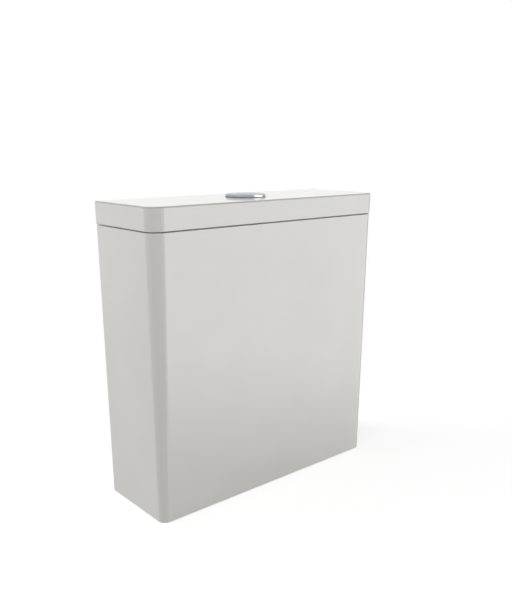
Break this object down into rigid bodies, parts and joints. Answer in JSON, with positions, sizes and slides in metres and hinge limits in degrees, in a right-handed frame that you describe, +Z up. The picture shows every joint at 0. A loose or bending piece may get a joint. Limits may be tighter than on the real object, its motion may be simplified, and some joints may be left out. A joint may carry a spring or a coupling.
{
  "type": "toilet cistern",
  "caption": "Close-coupled toilet cistern: glazed china tank with a lift-off lid, chromed dual-flush button, drop valve and bottom-entry float valve.",
  "frame": {"origin": "middle of the foot of the tank's skirt, on the plane that it stands on", "axes": "+X to the right of someone facing the cistern, +Y towards the wall, +Z up"},
  "size_m": [0.3814, 0.13, 0.3985],
  "materials": {
    "glazed_china": "gloss white glaze",
    "chromed_plastic": "polished chrome plate on plastic",
    "white_plastic": "moulded, satin",
    "grey_plastic": "moulded, satin",
    "blue_plastic": "moulded, satin",
    "black_rubber": "moulded, matt",
    "grey_foam": "closed-cell foam and soft pads",
    "stainless_steel": "bright drawn",
    "filter_mesh": "moulded, matt"
  },
  "bodies": {
    "tank": {"cistern_body": "glazed_china", "lid_buffers": "grey_foam", "flush_valve_base": "white_plastic", "base_seal_washer": "black_rubber", "flush_valve_back_nut": "white_plastic", "coupling_ring": "black_rubber", "fixing_bolts": "stainless_steel", "bolt_seal_washers": "black_rubber", "bolt_plate_washers": "stainless_steel", "bolt_nuts": "stainless_steel", "valve_cage": "white_plastic", "tower_head": "white_plastic", "height_clip": "blue_plastic", "rocker_pins": "stainless_steel", "float_stop_clip": "blue_plastic", "inlet_shank": "white_plastic", "blanking_plug": "white_plastic", "inlet_seal_washers": "black_rubber", "inlet_back_nuts": "white_plastic", "inlet_filter": "filter_mesh", "inner_riser": "white_plastic", "riser_lock_ring": "blue_plastic", "fill_valve_head": "white_plastic", "fill_valve_diaphragm": "black_rubber", "fill_valve_cap": "white_plastic", "fill_lever_pin": "stainless_steel"},
    "lid": {"lid": "glazed_china", "button_bezel": "chromed_plastic", "button_pad": "grey_foam", "button_nut": "white_plastic", "full_button_spring": "stainless_steel", "half_button_spring": "stainless_steel"},
    "full_button": {"full_flush_button": "chromed_plastic", "full_push_rod": "blue_plastic"},
    "half_button": {"half_flush_button": "chromed_plastic", "half_push_rod": "blue_plastic"},
    "full_rocker": {"full_flush_rocker": "grey_plastic"},
    "half_rocker": {"half_flush_rocker": "grey_plastic"},
    "overflow": {"overflow_tube": "white_plastic", "seal_disc": "black_rubber", "seal_retainer": "grey_plastic", "tube_float": "grey_plastic", "tube_clips": "blue_plastic", "lift_yoke": "white_plastic"},
    "half_float": {"half_flush_float": "grey_plastic"},
    "float": {"float_cup": "grey_plastic", "adjusting_rod": "stainless_steel", "adjuster_clips": "blue_plastic"},
    "fill_lever": {"fill_lever": "grey_plastic"}
  },
  "joints": [
    {"name": "lid_lift", "type": "slide", "parent": "tank", "child": "lid", "axis": [0, 0, 1], "range_m": [0, 0.15]},
    {"name": "full_button_press", "type": "slide", "parent": "lid", "child": "full_button", "axis": [0, 0, -1], "range_m": [0, 0.007], "stiffness_N_per_m": 300, "springref_m": -0.008, "deforming": ["full_button_spring"]},
    {"name": "half_button_press", "type": "slide", "parent": "lid", "child": "half_button", "axis": [0, 0, -1], "range_m": [0, 0.007], "stiffness_N_per_m": 300, "springref_m": -0.008, "deforming": ["half_button_spring"]},
    {"name": "full_rocker_tilt", "type": "hinge", "parent": "tank", "child": "full_rocker", "pos_m": [-0.02325, 0, 0.2941], "axis": [0, 1, 0], "range_deg": [0, 37.11]},
    {"name": "half_rocker_tilt", "type": "hinge", "parent": "tank", "child": "half_rocker", "pos_m": [0.02325, 0, 0.2941], "axis": [0, -1, 0], "range_deg": [0, 37.11]},
    {"name": "overflow_lift", "type": "slide", "parent": "tank", "child": "overflow", "axis": [0, 0, 1], "range_m": [0, 0.01337]},
    {"name": "half_float_slide", "type": "slide", "parent": "tank", "child": "half_float", "axis": [0, 0, 1], "range_m": [0, 0.012]},
    {"name": "float_rise", "type": "slide", "parent": "tank", "child": "float", "axis": [0, 0, 1], "range_m": [0, 0.009]},
    {"name": "fill_lever_tilt", "type": "hinge", "parent": "tank", "child": "fill_lever", "pos_m": [0.128, 0, 0.2941], "axis": [0, 1, 0], "range_deg": [0, 21.61]}
  ],
  "couplings": [
    {"joint": "full_rocker_tilt", "follows": "full_button_press", "rad_per_m": 92.517},
    {"joint": "half_rocker_tilt", "follows": "half_button_press", "rad_per_m": 92.517},
    {"joint": "overflow_lift", "follows": "full_button_press", "ratio": 1.9091},
    {"joint": "fill_lever_tilt", "follows": "float_rise", "rad_per_m": 41.915}
  ]
}
